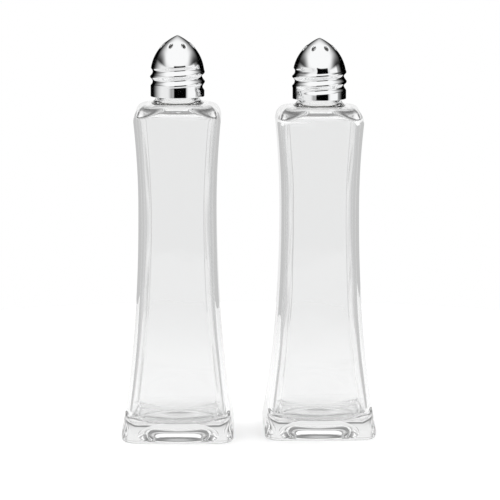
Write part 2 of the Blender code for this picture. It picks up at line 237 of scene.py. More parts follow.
def outer_half(height, top):
    """Half the width of the sides, from the waist's half width w.

    Above the waist w + (shoulder - w) * a^2, and below it w + (foot - w) * b^FLARE_POWER, where a
    and b run from 0 at the waist to 1 at the shoulders and at the heel.
    """
    waist = top - WAIST_DROP
    above = np.maximum(height - waist, 0.0) / (WAIST_DROP - SHOULDER_DROP)
    below = np.maximum(waist - height, 0.0) / (waist - HEEL_HEIGHT)
    sweep_in = (SHOULDER_HALF - WAIST_HALF) * above ** 2
    flare = (FOOT_HALF - WAIST_HALF) * np.minimum(below, 1.0) ** FLARE_POWER
    return WAIST_HALF + sweep_in + flare


def punt_stretch():
    """The round hollow under the base, of height PUNT_DEPTH * (1 - s^PUNT_POWER) at share s of its radius.

    It is nearly flat in the middle and steep down to the rim.
    """
    share = np.sin(np.linspace(0.0, math.pi / 2, 33)[1:])
    radius = PUNT_RADIUS * share
    return radius, radius, PUNT_DEPTH * (1.0 - share ** PUNT_POWER)


def heel_stretch():
    """The flat rim, from round to square, then a quarter circle up to the side."""
    share = np.linspace(0.0, 1.0, 11)[1:]
    rim = PUNT_RADIUS + (FOOT_HALF - HEEL_ROUND - PUNT_RADIUS) * share
    rim_corner = PUNT_RADIUS + (CORNER - PUNT_RADIUS) * share
    angle = np.linspace(0.0, math.pi / 2, 13)[1:]
    half = np.concatenate([rim, FOOT_HALF - HEEL_ROUND * (1.0 - np.sin(angle))])
    corner = np.concatenate([rim_corner, np.full(len(angle), CORNER)])
    height = np.concatenate([np.zeros(len(rim)), HEEL_ROUND * (1.0 - np.cos(angle))])
    return half, corner, height


def side_stretch(top):
    """The four sides, from the heel to where the shoulders start to round."""
    height = np.linspace(HEEL_ROUND, top - SHOULDER_DROP, 101)[1:]
    return outer_half(height, top), np.full(len(height), CORNER), height


def shoulder_stretch(top):
    """Most of a quarter of an ellipse inwards, while the corners open towards the collar's round."""
    turn = np.linspace(0.0, 1.0, 25)[1:]
    angle = turn * math.pi / 2
    half = SHOULDER_HALF - SHOULDER_ROUND * (1.0 - np.cos(angle)) * SHOULDER_SHARE
    corner = CORNER + (COLLAR_RADIUS * COLLAR_SHARE - CORNER) * turn ** 2
    return half, corner, top - SHOULDER_DROP * (1.0 - np.sin(angle))


def collar_stretch(top):
    """The collar: a quarter of an ellipse that sweeps up into the neck."""
    angle = np.linspace(0.05, 1.0, 14) * math.pi / 2
    radius = COLLAR_RADIUS - (COLLAR_RADIUS - NECK_RADIUS) * np.sin(angle)
    return radius, radius, top + COLLAR_HEIGHT * (1.0 - np.cos(angle))


def neck_stretch(top):
    """The straight neck, in rows fine enough for the thread bead."""
    height = np.linspace(top + COLLAR_HEIGHT, top + NECK_LENGTH - LIP_ROUND, 72)[1:]
    radius = np.full(len(height), NECK_RADIUS)
    return radius, radius, height


# %% [markdown]
# ## The bottle's inside
# Glass isn't a skin but a solid: what gives a bottle its look is how the inner wall bends what is
# seen through the outer one. The lip is rounded on both edges, the bore widens at its foot and opens
# into the cavity under a rounded roof, the walls follow the outside at a thickness that grows a little
# towards the foot, and they round into a floor that is a low round crown, as the air left it.

# %% Inside stretches
BORE_RADIUS = 6.4 * MM
WALL_TOP = 2.2 * MM
WALL_FOOT = 2.6 * MM
INNER_CORNER = 3.6 * MM
CROWN_RADIUS = 15.0 * MM
CROWN_HEIGHT = 1.5 * MM
FLOOR_EDGE = 7.0 * MM
FLOOR_ROUND = 4.0 * MM
CAVITY_DROP = 5.0 * MM
ROOF_POWER = 1.5
BORE_FLARE = 1.4 * MM
FLARE_LENGTH = 4.0 * MM


def inner_half(height, top):
    """Half the cavity's width: the outside less the wall, which is thicker at the foot."""
    wall = WALL_FOOT + (WALL_TOP - WALL_FOOT) * height / top
    return outer_half(height, top) - wall


def lip_stretch(top):
    """The rounded lip, from the neck's outside over the flat to the bore."""
    lip = top + NECK_LENGTH
    angle = np.linspace(0.0, math.pi / 2, 6)
    outer = NECK_RADIUS - LIP_ROUND * (1.0 - np.cos(angle[1:]))
    flat = np.linspace(NECK_RADIUS - LIP_ROUND, BORE_RADIUS + LIP_ROUND, 5)[1:-1]
    inner = BORE_RADIUS + LIP_ROUND * (1.0 - np.sin(angle))
    radius = np.concatenate([outer, flat, inner])
    height = np.concatenate([lip - LIP_ROUND * (1.0 - np.sin(angle[1:])), np.full(len(flat), lip),
                             lip - LIP_ROUND * (1.0 - np.cos(angle))])
    return radius, radius, height


def cavity_top_stretch(top):
    """The bore and its widened foot, then the roof, which turns from round to square.

    The roof goes out by sin(a) and drops by (1 - sin(a)^n)^(1/n) of CAVITY_DROP, with n = ROOF_POWER:
    2 would be an ellipse, and less is flatter.
    """
    bore = np.linspace(top + NECK_LENGTH - LIP_ROUND, top, 26)[1:]
    flare = np.clip(1.0 - (bore - top) / FLARE_LENGTH, 0.0, 1.0)
    radius = BORE_RADIUS + BORE_FLARE * flare ** 2
    side_top = top - CAVITY_DROP
    turn = np.linspace(0.0, 1.0, 33)[1:-1]
    angle = turn * math.pi / 2
    half = radius[-1] + (inner_half(side_top, top) - radius[-1]) * np.sin(angle)
    corner = half + (np.minimum(INNER_CORNER, half) - half) * smooth_step(turn)
    height = side_top + CAVITY_DROP * (1.0 - np.sin(angle) ** ROOF_POWER) ** (1.0 / ROOF_POWER)
    return (np.concatenate([radius, half]), np.concatenate([radius, corner]), np.concatenate([bore, height]))


def cavity_wall_stretch(top):
    """The inner walls, down to where they round into the floor."""
    height = np.linspace(top - CAVITY_DROP, FLOOR_EDGE + FLOOR_ROUND, 73)
    return inner_half(height, top), np.full(len(height), INNER_CORNER), height


def floor_stretch(top):
    """A quarter of an ellipse in to the round floor, then a parabola up to its middle."""
    start = FLOOR_EDGE + FLOOR_ROUND
    wide = inner_half(start, top)
    turn = np.linspace(0.0, 1.0, 21)[1:]
    angle = turn * math.pi / 2
    share = np.linspace(1.0, 0.0, 19)[1:-1]
    half = wide - (wide - CROWN_RADIUS) * (1.0 - np.cos(angle))
    corner = INNER_CORNER + (CROWN_RADIUS - INNER_CORNER) * smooth_step(turn)
    radius = CROWN_RADIUS * share
    edge = start - FLOOR_ROUND * np.sin(angle)
    crown = FLOOR_EDGE + CROWN_HEIGHT * (1.0 - share ** 2)
    height = np.concatenate([edge, crown])
    return np.concatenate([half, radius]), np.concatenate([corner, radius]), height


def bottle_profile(top):
    """All stretches in order, from the middle of the base round to the middle of the floor."""
    stretches = [punt_stretch(), heel_stretch(), side_stretch(top), shoulder_stretch(top),
                 collar_stretch(top), neck_stretch(top), lip_stretch(top), cavity_top_stretch(top),
                 cavity_wall_stretch(top), floor_stretch(top)]
    counts = [len(stretch[0]) for stretch in stretches]
    half, corner, height = (np.concatenate(part) for part in zip(*stretches))
    return half, corner, height, np.cumsum(counts)


print("rows in the bottle's profile:", len(bottle_profile(0.137)[0]))

# %% [markdown]
# ## Thread shape
# The glass neck carries a raised bead and the metal top a rolled groove, both on the same helix, with
# the bead half a pitch away from the groove so that it lies behind the ridge. At an angle round the
# axis, the helix passes several heights, one for each turn. The shape is a raised cosine across the
# thread, and it fades in and out at its two ends. Because the heights follow from the angle, the
# thread is a push along the radius of grid points that are already there.

# %% Thread push
PITCH = 4.0 * MM
RUN_OUT = math.radians(80.0)


def thread_push(angle, height, start_angle, start_height, turns, half_width, lag=0.0):
    """0 to 1: how strongly a point is pushed by a thread of some turns that starts at start_angle.

    Swept angle s = angle - start + 2 pi k for each turn k; the thread's middle is at
    start_height + pitch * (s / 2 pi + lag); the push is cos^2 across half_width, times the fade.
    """
    sweep = turns * math.tau
    base = (angle - start_angle) % math.tau
    push = np.zeros(np.broadcast(angle, height).shape)
    for turn in range(int(turns) + 1):
        swept = base + turn * math.tau
        middle = start_height + PITCH * (swept / math.tau + lag)
        fade = smooth_step(np.minimum(swept, sweep - swept) / RUN_OUT)
        across = np.clip((height - middle) / half_width, -1.0, 1.0)
        push = np.maximum(push, fade * np.cos(across * math.pi / 2) ** 2)
    return push


# %% [markdown]
# ## Slow waves in the glass
# Moulded glass is never quite flat. The outside keeps a faint unevenness of the mould, and the inside,
# which only air has touched, wanders more. A few slow waves with seeded random phases, longer than
# the glass is thick, give both. They are what makes the edges of the bottle shimmer.

# %% Waves
OUTER_WAVE = 0.03 * MM
INNER_WAVE = 0.12 * MM
WAVE_COUNT = 9
MOST_AROUND = 5
WAVE_STEEPNESS = 90.0
WAVE_EASE_TOP = 8.0 * MM
WAVE_EASE_FOOT = 6.0 * MM


def waves(angle, height, random):
    """Sum of slow waves: sin(m * angle + n * height + phase), over the square root of their number.

    m is a whole number below MOST_AROUND, and n is in radians a metre, WAVE_STEEPNESS being usual.
    """
    around = random.integers(1, MOST_AROUND, WAVE_COUNT)
    upward = random.normal(0.0, WAVE_STEEPNESS, WAVE_COUNT)
    phase = random.uniform(0.0, math.tau, WAVE_COUNT)
    total = sum(np.sin(m * angle + n * height + p) for m, n, p in zip(around, upward, phase))
    return total / math.sqrt(WAVE_COUNT)


# %% [markdown]
# ## Make the bottles
# The profile becomes a grid, the waves and the bead push the points away from the axis, and the
# grid is turned and set on its axis. The rim, the lip and the poles stay where they are. Rows run
# up the outside and down the inside, so the faces look out of the glass on both.

# %% Bottles
BEAD_HEIGHT = 1.35 * MM
BEAD_HALF_WIDTH = 1.15 * MM
BEAD_TURNS = 1.4
BEAD_FOOT_RISE = 4.9 * MM
SKIRT_PLAIN = 3.4 * MM


def make_bottle(shaker, seed):
    """The bottle of one shaker, as one closed glass skin."""
    top = shaker["lip"] - NECK_LENGTH
    half, corner, height, ends = bottle_profile(top)
    rows = section(half, corner, height)
    angle = np.arctan2(rows[..., 1], rows[..., 0])
    random = np.random.default_rng(seed)
    row = np.arange(len(half))[:, None]
    outside = (row >= ends[1]) & (row < ends[3])
    inside = row >= ends[7]
    ease_top = smooth_step((top - height) / WAVE_EASE_TOP)[:, None]
    ease_foot = smooth_step(height / WAVE_EASE_FOOT)[:, None]
    push = outside * OUTER_WAVE * waves(angle, rows[..., 2], random) * ease_top * ease_foot
    ease_floor = smooth_step((height - FLOOR_EDGE) / FLOOR_ROUND)[:, None]
    push = push + inside * INNER_WAVE * waves(angle, rows[..., 2], random) * ease_top * ease_floor
    neck = (row >= ends[4]) & (row < ends[5])
    bead_lag = (BEAD_FOOT_RISE - SKIRT_PLAIN) / PITCH - 0.5
    bead = thread_push(angle, rows[..., 2], shaker["thread_start"] + bead_lag * math.tau,
                       shaker["cap_foot"] + BEAD_FOOT_RISE, BEAD_TURNS, BEAD_HALF_WIDTH)
    push = push + neck * BEAD_HEIGHT * bead
    reach = np.hypot(rows[..., 0], rows[..., 1])
    rows[..., :2] *= (1.0 + push / reach)[..., None]
    wrap_rows = np.stack([np.broadcast_to(np.arange(COLUMNS) / COLUMNS, reach.shape),
                          np.broadcast_to(profile_lengths(rows)[:, None], reach.shape)], axis=-1)
    poles = np.array([[0.0, 0.0, PUNT_DEPTH], [0.0, 0.0, FLOOR_EDGE + CROWN_HEIGHT]])
    points = np.vstack([rows.reshape(-1, 3), poles])
    points = turned(points, shaker["yaw"]) + np.array([shaker["x"], shaker["y"], 0.0])
    wrap = np.vstack([wrap_rows.reshape(-1, 2), wrap_rows[0, :1] * 0.0, wrap_rows[-1, :1]])
    count = len(half)
    quads = grid_faces(count, COLUMNS)
    first = fan_faces(0, COLUMNS, count * COLUMNS, upward=False)
    last = fan_faces((count - 1) * COLUMNS, COLUMNS, count * COLUMNS + 1, upward=True)
    return make_piece(f"{shaker['name']}_glass_bottle", points, quads, np.vstack([first, last]), wrap)


bottles = {shaker["name"]: make_bottle(shaker, seed) for shaker, seed in zip(shakers, (11, 23))}

# %% [markdown]
# ## The sealing ring
# A thin washer lies on the lip, and the top presses on it. It is cut from a sheet, so its edges are
# only slightly rounded. Its profile is a closed loop: a rectangle with small round corners, turned
# about the axis.

# %% Sealing rings
RING_INNER = 6.6 * MM
RING_EDGE = 0.15 * MM


def make_ring(shaker):
    """A flat ring: each corner of its rectangle is a quarter circle of RING_EDGE."""
    low, high = shaker["ring_foot"], shaker["ring_top"]
    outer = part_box(f"{shaker['name']}_sealing_ring")[1].x - shaker["x"]
    quarter = np.linspace(0.0, math.pi / 2, 5)
    corners = [(outer - RING_EDGE, low + RING_EDGE, -math.pi / 2), (outer - RING_EDGE, high - RING_EDGE, 0.0),
               (RING_INNER + RING_EDGE, high - RING_EDGE, math.pi / 2),
               (RING_INNER + RING_EDGE, low + RING_EDGE, math.pi)]
    radius = np.concatenate([r + RING_EDGE * np.cos(quarter + a) for r, z, a in corners])
    height = np.concatenate([z + RING_EDGE * np.sin(quarter + a) for r, z, a in corners])
    turn = np.arange(COLUMNS) * math.tau / COLUMNS
    rows = np.stack([radius[:, None] * np.cos(turn), radius[:, None] * np.sin(turn),
                     np.broadcast_to(height[:, None], (len(radius), COLUMNS))], axis=-1)
    points = rows.reshape(-1, 3) + np.array([shaker["x"], shaker["y"], 0.0])
    quads = grid_faces(len(radius), COLUMNS)
    closing = np.stack([np.arange(COLUMNS) + (len(radius) - 1) * COLUMNS,
                        (np.arange(COLUMNS) + 1) % COLUMNS + (len(radius) - 1) * COLUMNS,
                        (np.arange(COLUMNS) + 1) % COLUMNS, np.arange(COLUMNS)], axis=1)
    wrap = np.stack([np.tile(np.arange(COLUMNS) / COLUMNS, len(radius)),
                     np.repeat(profile_lengths(rows), COLUMNS)], axis=1)
    return make_piece(f"{shaker['name']}_washer", points, np.vstack([quads, closing]),
                      np.zeros((0, 3), int), wrap)


rings = {shaker["name"]: make_ring(shaker) for shaker in shakers}

# %% [markdown]
# ## The screw top
# The top is one sheet of brass, drawn into a pointed dome, rolled with a thread, pierced with seven
# holes and plated. Its outline from the point down is a circular arc and then a straight skirt. The
# outer face is worked out first. The inner face is the outer one moved in along its normals by the
# sheet's thickness, so the groove outside is a rib inside, as rolling makes it. Between the turns of
# the groove the sheet is left a little proud. The holes are pierced straight down into the sloping
# dome, so each is a circle from above and is stretched along the slope.

# %% Outline of the top
CAP_OUTER = 11.1 * MM
SHEET = 0.45 * MM
OGIVE_HEIGHT = 15.9 * MM
POINT_SOFT = 0.3 * MM
GROOVE_DEPTH = 0.85 * MM
RIDGE_SWELL = 0.2 * MM
RIDGE_LEAD = math.radians(110.0)
GROOVE_HALF_WIDTH = 1.75 * MM
RIB_TURNS = 2.2
HOLE_COUNT = 7
HOLE_RADIUS = 0.88 * MM
HOLE_DROP = 4.0 * MM
HOLE_CELLS = 5
ROWS_TO_HOLES = 40
BLEND_CELLS = 10

arc_radius = (CAP_OUTER ** 2 + OGIVE_HEIGHT ** 2) / (2 * CAP_OUTER)
point_turn = math.asin(OGIVE_HEIGHT / arc_radius)
hole_turn = math.asin((OGIVE_HEIGHT - HOLE_DROP) / arc_radius)
hole_distance = arc_radius * (point_turn - hole_turn)
hole_stretch = 1.0 / math.sin(hole_turn)
dome_length = arc_radius * point_turn
print("dome arc", round(arc_radius / MM, 2), "mm, holes", round(hole_distance / MM, 2), "mm from the point")


def top_outline(distance, cap_height):
    """(radius, height above the lower edge) at a distance from the point along the outline.

    On the dome the outline is a circle's arc of arc_radius; below it, the straight skirt. The very
    point is softened: it sinks by its slope times sqrt(r^2 + soft^2) - r.
    """
    turn = np.clip(point_turn - distance / arc_radius, 0.0, None)
    radius = arc_radius * np.cos(turn) - (arc_radius - CAP_OUTER)
    height = cap_height - OGIVE_HEIGHT + arc_radius * np.sin(turn)
    height = height - np.maximum(distance - dome_length, 0.0)
    radius = np.maximum(radius, 0.0)
    slope = math.tan(math.pi / 2 - point_turn)
    height = height - slope * (np.sqrt(radius ** 2 + POINT_SOFT ** 2) - radius)
    return radius, height


# %% [markdown]
# ## Holes without a boolean
# Cutting a fine grid with a boolean leaves slivers that spoil a mirror finish. Instead the grid is
# bent: round each hole, the square rings of grid cells are eased into circles, so a block of cells
# has a truly round border, and the cells inside it are left out. With seven holes and 224 columns,
# each hole sits exactly on a column.

# %% Bend the grid round the holes
def bend_to_holes(distance, angle, first_hole):
    """Moves grid points so that the ring of cells HOLE_CELLS away from a hole is a circle.

    Cell offsets (p, q) from the hole have ring number c = max(|p|, |q|). The circle version puts
    them at c / HOLE_CELLS * HOLE_RADIUS in the direction (p, q); it fades to the plain grid.
    """
    rows, columns = distance.shape
    per_hole = columns // HOLE_COUNT
    p = (np.arange(columns)[None, :] + per_hole // 2) % per_hole - per_hole // 2
    q = np.arange(rows)[:, None] - (ROWS_TO_HOLES - 1)
    p, q = np.broadcast_arrays(p.astype(float), q.astype(float))
    ring = np.maximum(np.abs(p), np.abs(q))
    away = np.maximum(np.hypot(p, q), 1e-9)
    share = smooth_step((ring - HOLE_CELLS) / BLEND_CELLS)
    round_sideways = ring / HOLE_CELLS * HOLE_RADIUS * p / away
    round_along = ring / HOLE_CELLS * HOLE_RADIUS * hole_stretch * q / away
    centre_angle = angle - p * math.tau / columns
    new_distance = (hole_distance + round_along) * (1.0 - share) + distance * share
    radius = np.maximum(top_outline(new_distance, 0.0)[0], 0.1 * MM)
    new_angle = centre_angle + round_sideways / radius * (1.0 - share) + (angle - centre_angle) * share
    along_share = (new_distance - hole_distance) / hole_stretch
    gap = np.hypot(along_share, (new_angle - centre_angle) * radius) - HOLE_RADIUS
    return new_distance, new_angle, ring, gap


# %% [markdown]
# ## Skin of the top
# The outer grid gets its groove and its softly punched hole edges, the normals are taken from the
# grid itself, and the inner grid follows. A half circle of rows joins the two at the lower edge, and
# short walls join them round each hole.

# %% Tops
PUNCH_DIP = 0.10 * MM
PUNCH_REACH = 0.25 * MM
EDGE_ROWS = 5


def grid_normals(rows):
    """Outward unit normals of a grid: across the columns times along the rows."""
    around = np.roll(rows, -1, axis=1) - np.roll(rows, 1, axis=1)
    along = np.gradient(rows, axis=0)
    normal = np.cross(along, around)
    return normal / np.linalg.norm(normal, axis=-1, keepdims=True)


def hole_border(hole, columns):
    """Row and column numbers of the border cells of one hole, in order round it."""
    side = np.arange(-HOLE_CELLS, HOLE_CELLS)
    edge = np.full(len(side), HOLE_CELLS)
    p = np.concatenate([side, edge, -side, -edge])
    q = np.concatenate([-edge, side, edge, -side])
    centre = hole * (columns // HOLE_COUNT)
    return q + ROWS_TO_HOLES - 1, (p + centre) % columns


def make_top(shaker):
    """The plated screw top of one shaker, as one closed skin of sheet metal."""
    cap_height = shaker["cap_point"] - shaker["cap_foot"]
    skirt = cap_height - OGIVE_HEIGHT
    step = hole_distance / ROWS_TO_HOLES
    total = dome_length + skirt - SHEET / 2
    below = round((total - hole_distance) / step)
    distance = np.concatenate([np.arange(1, ROWS_TO_HOLES) * step,
                               np.linspace(hole_distance, total, below + 1)])
    first_hole = math.radians(270.0) + math.pi / HOLE_COUNT
    angle = first_hole + np.arange(COLUMNS) * math.tau / COLUMNS
    distance, angle = np.broadcast_arrays(distance[:, None], angle[None, :])
    distance, angle, ring, gap = bend_to_holes(distance, angle, first_hole)

    radius, height = top_outline(distance, cap_height)
    groove = thread_push(angle, height, shaker["thread_start"], SKIRT_PLAIN, RIB_TURNS, GROOVE_HALF_WIDTH)
    lead = RIDGE_LEAD / math.tau
    ridge = thread_push(angle, height, shaker["thread_start"] - RIDGE_LEAD, SKIRT_PLAIN - PITCH * lead,
                        RIB_TURNS - 0.5 + lead, PITCH / 4, lag=0.5)
    radius = radius - GROOVE_DEPTH * groove + RIDGE_SWELL * ridge
    outer = np.stack([radius * np.cos(angle), radius * np.sin(angle), height], axis=-1)
    normal = grid_normals(outer)
    dip = PUNCH_DIP * np.exp(-(np.maximum(gap, 0.0) / PUNCH_REACH) ** 2) * (ring < HOLE_CELLS + BLEND_CELLS)
    outer = outer - normal * dip[..., None]
    inner = outer - normal * SHEET

    middle = (outer[-1] + inner[-1]) / 2
    half_sheet = (outer[-1] - inner[-1]) / 2
    turn = (np.linspace(0.0, math.pi, EDGE_ROWS + 2)[1:-1])[:, None, None]
    down = np.array([0.0, 0.0, -SHEET / 2])
    edge = middle + half_sheet * np.cos(turn) + down * np.sin(turn)
    rows = np.concatenate([outer, edge, inner[::-1]])
    count = len(rows)
    outer_count = len(outer)
    poles = np.array([[0.0, 0.0, top_outline(np.array(0.0), cap_height)[1]]] * 2)
    poles[1, 2] -= SHEET
    points = np.vstack([rows.reshape(-1, 3), poles])

    quads = grid_faces(count, COLUMNS)
    keep = np.ones((count - 1, COLUMNS), bool)
    hole_walls = []
    for hole in range(HOLE_COUNT):
        rows_in = ROWS_TO_HOLES - 1 - HOLE_CELLS + np.arange(2 * HOLE_CELLS)
        columns_in = (hole * (COLUMNS // HOLE_COUNT) - HOLE_CELLS + np.arange(2 * HOLE_CELLS)) % COLUMNS
        keep[np.ix_(rows_in, columns_in)] = False
        keep[np.ix_(count - 2 - rows_in, columns_in)] = False
        border_row, border_column = hole_border(hole, COLUMNS)
        near = border_row * COLUMNS + border_column
        far = (count - 1 - border_row) * COLUMNS + border_column
        hole_walls.append(np.stack([near, np.roll(near, -1), np.roll(far, -1), far], axis=1))
    quads = np.vstack([quads[keep.ravel()]] + hole_walls)
    first = fan_faces(0, COLUMNS, count * COLUMNS, upward=False)
    last = fan_faces((count - 1) * COLUMNS, COLUMNS, count * COLUMNS + 1, upward=True)
    triangles = np.vstack([first, last])
    quads, triangles = quads[:, ::-1], triangles[:, ::-1]

    used = np.unique(np.concatenate([quads.ravel(), triangles.ravel()]))
    renumber = np.zeros(len(points), int)
    renumber[used] = np.arange(len(used))
    along = np.broadcast_to(profile_lengths(rows)[:, None], (count, COLUMNS))
    wrap = np.stack([np.tile(np.arange(COLUMNS) / COLUMNS, count), along.ravel()], axis=1)
    wrap = np.vstack([wrap, [[0.0, 0.0], [0.0, along[-1, 0]]]])
    points = turned(points, shaker["yaw"]) + np.array([shaker["x"], shaker["y"], shaker["cap_foot"]])
    name = f"{shaker['name']}_plated_top"
    return make_piece(name, points[used], renumber[quads], renumber[triangles], wrap[used])


tops = {shaker["name"]: make_top(shaker) for shaker in shakers}

# %% [markdown]
# ## Ride on the measured bodies
# Each new piece moves with its body of the measured model and stands for one of its nodes, which is
# hidden.

# %% Ride and replace
for name in ("salt", "pepper"):
    for piece, body, node, finish in (
        (bottles[name], f"{name}_bottle", f"{name}_bottle", "bottle_glass"),
        (rings[name], f"{name}_seal", f"{name}_sealing_ring", "ring_seal"),
        (tops[name], f"{name}_cap", f"{name}_cap", "cap_chrome"),
    ):
        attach(piece, body)
        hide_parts(node)
        print(piece.name, "rides on", body)

# %% [markdown]
# ## Node helpers
# Materials are small graphs. A few helpers keep them readable: one adds a node and sets its values,
# others make a step of arithmetic or a smooth step. Shared effects become node groups with named
# sockets.

# %% Node helpers
def add_node(tree, kind, values=None, **settings):
    """Adds a node, sets its properties and then its inputs, given by name or by number."""
    node = tree.nodes.new(kind)
    for name, value in settings.items():
        setattr(node, name, value)
    for socket, value in (values or {}).items():
        if isinstance(value, bpy.types.NodeSocket):
            tree.links.new(value, node.inputs[socket])
        else:
            node.inputs[socket].default_value = value
    return node


def math_node(tree, operation, first, second=0.0, third=0.0, clamp=False):
    """One arithmetic step; first, second and third are sockets or numbers."""
    node = add_node(tree, "ShaderNodeMath", {0: first, 1: second, 2: third},
                    operation=operation, use_clamp=clamp)
    return node.outputs[0]


def through_glass(tree, path):
    """1 for a ray that comes out of clear glass: it is a transmission ray or a singular one."""
    return math_node(tree, "MAXIMUM", path.outputs["Is Transmission Ray"], path.outputs["Is Singular Ray"])


def ease_node(tree, value, low, high, to_low=0.0, to_high=1.0):
    """A smooth step of a value from low to high."""
    node = add_node(tree, "ShaderNodeMapRange",
                    {"Value": value, "From Min": low, "From Max": high, "To Min": to_low, "To Max": to_high},
                    interpolation_type="SMOOTHSTEP")
    return node.outputs["Result"]


def new_material(name):
    """An empty material and its tree, with an output node."""
    material = bpy.data.materials.new(name)
    material.use_nodes = True
    material.node_tree.nodes.clear()
    output = add_node(material.node_tree, "ShaderNodeOutputMaterial")
    return material, material.node_tree, output


# %% [markdown]
# ## Handling marks
# Glass and plated metal both pick up the same things: a faint film where fingers have been, and fine
# random scratches. The group puts out a film mask and a height for a bump, both from noise on Object
# coordinates, so they stay where they are on the piece when it turns.

# %% Group: handling marks
def make_handling_group():
    """Film mask (0 to 1) and scratch height from noise; Film Size and Scratch Size are in 1/m."""
    group = bpy.data.node_groups.new("handling_marks", "ShaderNodeTree")
    for name, usual in (("Film Size", 60.0), ("Scratch Size", 900.0)):
        socket = group.interface.new_socket(name, in_out="INPUT", socket_type="NodeSocketFloat")
        socket.default_value = usual
    for name in ("Film", "Height"):
        group.interface.new_socket(name, in_out="OUTPUT", socket_type="NodeSocketFloat")
    inlet = add_node(group, "NodeGroupInput")
    outlet = add_node(group, "NodeGroupOutput")
    place = add_node(group, "ShaderNodeTexCoord").outputs["Object"]
    film = add_node(group, "ShaderNodeTexNoise",
                    {"Vector": place, "Scale": inlet.outputs["Film Size"], "Detail": 6.0, "Roughness": 0.62})
    group.links.new(ease_node(group, film.outputs["Fac"], 0.47, 0.72), outlet.inputs["Film"])
    stretched = add_node(group, "ShaderNodeMapping", {"Vector": place, "Scale": (1.0, 1.0, 0.12),
                                                      "Rotation": (0.5, 0.3, 0.8)})
    scratch = add_node(group, "ShaderNodeTexNoise",
                       {"Vector": stretched.outputs[0], "Scale": inlet.outputs["Scratch Size"], "Detail": 3.0})
    group.links.new(scratch.outputs["Fac"], outlet.inputs["Height"])
    return group


handling = make_handling_group()
print("group:", handling.name, [item.name for item in handling.interface.items_tree])

# %% [markdown]
# ## Clear glass
# Soda glass bends light by 1.5 and is nearly colourless. Its look is all in the shape, so the shader
# stays simple: full transmission, no roughness, and a very slight bump. Two kinds of ray can't find
# their way through such glass, and would leave it black: those that look for light to cast a shadow
# with, and those that are caught between its walls. So the first are mostly let straight through, and
# the second are let out after a few mirrorings.

# %% Material: clear glass
SHADE_THROUGH = 0.7
CAUGHT_AFTER = 3.5


def make_glass():
    """Clear glass; straight = max(SHADE_THROUGH for shadow and diffuse rays, 1 for caught rays)."""
    material, tree, output = new_material("clear_bottle_glass")
    marks = add_node(tree, "ShaderNodeGroup", {}, node_tree=handling)
    marks.inputs["Film Size"].default_value = 45.0
    marks.inputs["Scratch Size"].default_value = 260.0
    bump = add_node(tree, "ShaderNodeBump", {"Height": marks.outputs["Height"], "Strength": 0.05,
                                             "Distance": 0.0002})
    shader = add_node(tree, "ShaderNodeBsdfPrincipled", {
        "Base Color": (0.990, 0.992, 0.992, 1.0), "Metallic": 0.0, "Transmission Weight": 1.0, "IOR": 1.5,
        "Roughness": 0.0, "Normal": bump.outputs["Normal"]})
    clear = add_node(tree, "ShaderNodeBsdfTransparent")
    path = add_node(tree, "ShaderNodeLightPath")
    shade = math_node(tree, "MAXIMUM", path.outputs["Is Shadow Ray"], path.outputs["Is Diffuse Ray"])
    shade = math_node(tree, "MULTIPLY", shade, SHADE_THROUGH)
    caught = math_node(tree, "GREATER_THAN", path.outputs["Glossy Depth"], CAUGHT_AFTER)
    straight = math_node(tree, "MAXIMUM", shade, caught)
    whole = add_node(tree, "ShaderNodeMixShader", {0: straight, 1: shader.outputs[0], 2: clear.outputs[0]})
    tree.links.new(whole.outputs[0], output.inputs["Surface"])
    return material


glass = make_glass()

# %% [markdown]
# ## Bright plate
# Plated and polished metal mirrors the room sharply. What tells it from a perfect mirror is a trace of
# film from fingers, which blurs it a little in places, and hairline scratches.

# %% Material: bright plate
def make_plate():
    """Mirror plate: the film mask takes the roughness from 0.035 to 0.09."""
    material, tree, output = new_material("bright_plate")
    marks = add_node(tree, "ShaderNodeGroup", {}, node_tree=handling)
    marks.inputs["Film Size"].default_value = 140.0
    marks.inputs["Scratch Size"].default_value = 1500.0
    roughness = ease_node(tree, marks.outputs["Film"], 0.0, 1.0, 0.035, 0.09)
    bump = add_node(tree, "ShaderNodeBump", {"Height": marks.outputs["Height"], "Strength": 0.04,
                                             "Distance": 0.00005})
    shader = add_node(tree, "ShaderNodeBsdfPrincipled", {
        "Base Color": (0.90, 0.905, 0.91, 1.0), "Metallic": 1.0, "Roughness": roughness,
        "Normal": bump.outputs["Normal"]})
    tree.links.new(shader.outputs[0], output.inputs["Surface"])
    return material


plate = make_plate()

# %% [markdown]
# ## Soft seal
# The washer is a soft off-white plastic with a fine grain.

# %% Material: soft seal
def make_seal():
    """Off-white plastic: fine noise moves the tone between two greys and lifts a faint bump."""
    material, tree, output = new_material("soft_seal")
    place = add_node(tree, "ShaderNodeTexCoord").outputs["Object"]
    grain = add_node(tree, "ShaderNodeTexNoise", {"Vector": place, "Scale": 2500.0, "Detail": 4.0})
    tone = add_node(tree, "ShaderNodeMix", {"Factor": grain.outputs["Fac"]}, data_type="RGBA")
    tone.inputs["A"].default_value = (0.80, 0.79, 0.75, 1.0)
    tone.inputs["B"].default_value = (0.88, 0.87, 0.84, 1.0)
    bump = add_node(tree, "ShaderNodeBump", {"Height": grain.outputs["Fac"], "Strength": 0.3,
                                             "Distance": 0.0001})
    shader = add_node(tree, "ShaderNodeBsdfPrincipled", {
        "Roughness": 0.6, "Normal": bump.outputs["Normal"]})
    tree.links.new(tone.outputs["Result"], shader.inputs["Base Color"])
    tree.links.new(shader.outputs[0], output.inputs["Surface"])
    return material


seal = make_seal()
for name in ("salt", "pepper"):
    bottles[name].data.materials.append(glass)
    rings[name].data.materials.append(seal)
    tops[name].data.materials.append(plate)
